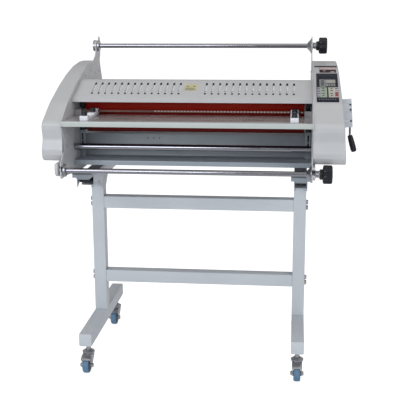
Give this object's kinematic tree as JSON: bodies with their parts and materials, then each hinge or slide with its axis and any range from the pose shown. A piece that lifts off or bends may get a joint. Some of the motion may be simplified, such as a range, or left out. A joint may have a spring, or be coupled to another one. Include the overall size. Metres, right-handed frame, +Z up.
{
  "type": "roll laminator",
  "caption": "Roll laminator on a wheeled tube stand: two nip rollers under a slotted hinged cover, feed table with guides, film shafts above and below, side lever and key panel.",
  "frame": {"origin": "on the floor, at the centre of the bounding box seen from above", "axes": "+Z up; the operator stands on the -Y side; +X is the operator's right, where the control panel and the pressure lever are"},
  "size_m": [0.9352, 0.612, 1.032],
  "materials": {
    "stand_paint": "pale blue-grey powder coat",
    "bright_steel": "zinc-plated",
    "blue_wheel": "moulded",
    "housing_paint": "light grey semi-matt paint",
    "table_paint": "pale grey paint",
    "inner_steel": "grey paint",
    "black_rubber": "moulded",
    "white_liner": "white",
    "scale_metal": "printed scale",
    "white_guide": "moulded",
    "black_plastic": "moulded",
    "red_silicone": "ground silicone rubber",
    "dark_red_silicone": "ground silicone rubber",
    "turned_steel": "turned",
    "black_iron": "blackened",
    "quadrant_steel": "pale grey paint",
    "chrome_bar": "polished",
    "panel_overlay": "printed overlay",
    "green_key_rubber": "moulded key",
    "beige_key_rubber": "moulded key",
    "red_key_rubber": "moulded key"
  },
  "bodies": {
    "frame": {"left_post": "stand_paint", "right_post": "stand_paint", "left_foot_beam": "stand_paint", "right_foot_beam": "stand_paint", "foot_end_caps": "stand_paint", "crossbars": "stand_paint", "crossbar_bolts": "bright_steel", "support_arms": "stand_paint", "caster_stems": "bright_steel", "left_side_plate": "housing_paint", "right_side_plate": "housing_paint", "base_rails": "inner_steel", "machine_feet": "black_rubber", "front_pan": "inner_steel", "rear_panel": "housing_paint", "rear_deck": "housing_paint", "left_cover": "housing_paint", "right_cover": "housing_paint", "feed_table": "table_paint", "scale_rail": "scale_metal", "lower_bearing_blocks": "black_iron", "quadrant": "quadrant_steel", "control_panel": "panel_overlay", "gear_motor": "inner_steel", "mains_inlet": "black_plastic"},
    "front_left_swivel": {"front_left_fork": "bright_steel"},
    "front_left_rolling_wheel": {"front_left_wheel": "blue_wheel"},
    "front_right_swivel": {"front_right_fork": "bright_steel"},
    "front_right_rolling_wheel": {"front_right_wheel": "blue_wheel"},
    "rear_left_swivel": {"rear_left_fork": "bright_steel"},
    "rear_left_rolling_wheel": {"rear_left_wheel": "blue_wheel"},
    "rear_right_swivel": {"rear_right_fork": "bright_steel"},
    "rear_right_rolling_wheel": {"rear_right_wheel": "blue_wheel"},
    "lifting_cover": {"top_cover": "housing_paint", "cover_liner": "white_liner"},
    "left_sliding_guide": {"left_guide": "white_guide"},
    "right_sliding_guide": {"right_guide": "white_guide"},
    "left_clamp": {"left_guide_knob": "black_plastic"},
    "right_clamp": {"right_guide_knob": "black_plastic"},
    "left_front_clamp": {"left_front_knob": "black_plastic"},
    "right_front_clamp": {"right_front_knob": "black_plastic"},
    "swing_arms": {"roller_arms": "black_iron"},
    "upper_nip_roller": {"upper_roller": "red_silicone", "upper_roller_shaft": "turned_steel"},
    "lower_nip_roller": {"lower_roller": "dark_red_silicone", "lower_roller_shaft": "turned_steel"},
    "drive_pinion": {"motor_pinion": "turned_steel"},
    "pressure_control": {"pressure_shaft": "turned_steel", "pressure_lever": "chrome_bar", "lever_grip": "black_plastic"},
    "idler": {"idler_bar": "chrome_bar"},
    "upper_supply": {"upper_supply_shaft": "chrome_bar"},
    "lower_supply": {"lower_supply_shaft": "chrome_bar"},
    "upper_tension": {"upper_tension_knob": "black_plastic"},
    "lower_tension": {"lower_tension_knob": "black_plastic"},
    "green_up_key_cap": {"green_up_key": "green_key_rubber"},
    "green_down_key_cap": {"green_down_key": "green_key_rubber"},
    "beige_up_key_cap": {"beige_up_key": "beige_key_rubber"},
    "beige_down_key_cap": {"beige_down_key": "beige_key_rubber"},
    "red_key_cap": {"red_key": "red_key_rubber"}
  },
  "joints": [
    {"name": "front_left_swivel_turn", "type": "hinge", "parent": "frame", "child": "front_left_swivel", "pos_m": [-0.37138, -0.168, 0.06], "axis": [0, 0, 1], "continuous": true},
    {"name": "front_left_wheel_roll", "type": "hinge", "parent": "front_left_swivel", "child": "front_left_rolling_wheel", "pos_m": [-0.37138, -0.196, 0.025], "axis": [1, 0, 0], "continuous": true},
    {"name": "front_right_swivel_turn", "type": "hinge", "parent": "frame", "child": "front_right_swivel", "pos_m": [0.29062, -0.168, 0.06], "axis": [0, 0, 1], "continuous": true},
    {"name": "front_right_wheel_roll", "type": "hinge", "parent": "front_right_swivel", "child": "front_right_rolling_wheel", "pos_m": [0.29062, -0.196, 0.025], "axis": [1, 0, 0], "continuous": true},
    {"name": "rear_left_swivel_turn", "type": "hinge", "parent": "frame", "child": "rear_left_swivel", "pos_m": [-0.37138, 0.264, 0.06], "axis": [0, 0, 1], "continuous": true},
    {"name": "rear_left_wheel_roll", "type": "hinge", "parent": "rear_left_swivel", "child": "rear_left_rolling_wheel", "pos_m": [-0.37138, 0.236, 0.025], "axis": [1, 0, 0], "continuous": true},
    {"name": "rear_right_swivel_turn", "type": "hinge", "parent": "frame", "child": "rear_right_swivel", "pos_m": [0.29062, 0.264, 0.06], "axis": [0, 0, 1], "continuous": true},
    {"name": "rear_right_wheel_roll", "type": "hinge", "parent": "rear_right_swivel", "child": "rear_right_rolling_wheel", "pos_m": [0.29062, 0.236, 0.025], "axis": [1, 0, 0], "continuous": true},
    {"name": "cover_hinge", "type": "hinge", "parent": "frame", "child": "lifting_cover", "pos_m": [-0.04038, -0.018, 0.9], "axis": [-1, 0, 0], "range_deg": [0, 95]},
    {"name": "left_guide_slide", "type": "slide", "parent": "frame", "child": "left_sliding_guide", "axis": [1, 0, 0], "range_m": [0, 0.23]},
    {"name": "left_clamp_turn", "type": "hinge", "parent": "left_sliding_guide", "child": "left_clamp", "pos_m": [-0.33838, -0.146, 0.823], "axis": [0, 0, 1], "range_deg": [0, 360]},
    {"name": "left_front_clamp_turn", "type": "hinge", "parent": "left_sliding_guide", "child": "left_front_clamp", "pos_m": [-0.33838, -0.254, 0.825], "axis": [0, 0, 1], "range_deg": [0, 360]},
    {"name": "right_guide_slide", "type": "slide", "parent": "frame", "child": "right_sliding_guide", "axis": [-1, 0, 0], "range_m": [0, 0.23]},
    {"name": "right_clamp_turn", "type": "hinge", "parent": "right_sliding_guide", "child": "right_clamp", "pos_m": [0.26862, -0.146, 0.823], "axis": [0, 0, 1], "range_deg": [0, 360]},
    {"name": "right_front_clamp_turn", "type": "hinge", "parent": "right_sliding_guide", "child": "right_front_clamp", "pos_m": [0.26862, -0.254, 0.825], "axis": [0, 0, 1], "range_deg": [0, 360]},
    {"name": "arms_swing", "type": "hinge", "parent": "frame", "child": "swing_arms", "pos_m": [-0.04038, 0.128, 0.846], "axis": [-1, 0, 0], "range_deg": [0, 2.1]},
    {"name": "upper_roller_spin", "type": "hinge", "parent": "swing_arms", "child": "upper_nip_roller", "pos_m": [-0.04038, -0.04, 0.846], "axis": [1, 0, 0], "continuous": true},
    {"name": "lower_roller_spin", "type": "hinge", "parent": "frame", "child": "lower_nip_roller", "pos_m": [-0.04038, -0.04, 0.782], "axis": [1, 0, 0], "continuous": true},
    {"name": "pinion_spin", "type": "hinge", "parent": "frame", "child": "drive_pinion", "pos_m": [0.33962, 0.00565, 0.76717], "axis": [1, 0, 0], "continuous": true},
    {"name": "pressure_lever_turn", "type": "hinge", "parent": "frame", "child": "pressure_control", "pos_m": [0.44412, 0.068, 0.8], "axis": [-1, 0, 0], "range_deg": [0, 110]},
    {"name": "idler_spin", "type": "hinge", "parent": "frame", "child": "idler", "pos_m": [-0.04038, -0.142, 0.717], "axis": [1, 0, 0], "continuous": true},
    {"name": "upper_supply_spin", "type": "hinge", "parent": "frame", "child": "upper_supply", "pos_m": [-0.04038, 0.223, 1.0025], "axis": [1, 0, 0], "continuous": true},
    {"name": "lower_supply_spin", "type": "hinge", "parent": "frame", "child": "lower_supply", "pos_m": [-0.04038, -0.274, 0.667], "axis": [1, 0, 0], "continuous": true},
    {"name": "upper_tension_turn", "type": "hinge", "parent": "upper_supply", "child": "upper_tension", "pos_m": [0.34962, 0.223, 1.0025], "axis": [1, 0, 0], "range_deg": [-360, 360]},
    {"name": "lower_tension_turn", "type": "hinge", "parent": "lower_supply", "child": "lower_tension", "pos_m": [0.35462, -0.274, 0.667], "axis": [1, 0, 0], "range_deg": [-360, 360]},
    {"name": "green_up_key_press", "type": "slide", "parent": "frame", "child": "green_up_key_cap", "axis": [0, 0.3506, -0.9365], "range_m": [0, 0.001], "stiffness_N_per_m": 600},
    {"name": "green_down_key_press", "type": "slide", "parent": "frame", "child": "green_down_key_cap", "axis": [0, 0.3506, -0.9365], "range_m": [0, 0.001], "stiffness_N_per_m": 600},
    {"name": "beige_up_key_press", "type": "slide", "parent": "frame", "child": "beige_up_key_cap", "axis": [0, 0.3506, -0.9365], "range_m": [0, 0.001], "stiffness_N_per_m": 600},
    {"name": "beige_down_key_press", "type": "slide", "parent": "frame", "child": "beige_down_key_cap", "axis": [0, 0.3506, -0.9365], "range_m": [0, 0.001], "stiffness_N_per_m": 600},
    {"name": "red_key_press", "type": "slide", "parent": "frame", "child": "red_key_cap", "axis": [0, 0.3506, -0.9365], "range_m": [0, 0.001], "stiffness_N_per_m": 600}
  ],
  "couplings": [
    {"joint": "upper_roller_spin", "follows": "lower_roller_spin", "ratio": -1},
    {"joint": "pinion_spin", "follows": "lower_roller_spin", "ratio": -2},
    {"joint": "pressure_lever_turn", "follows": "arms_swing", "ratio": 52.38}
  ]
}
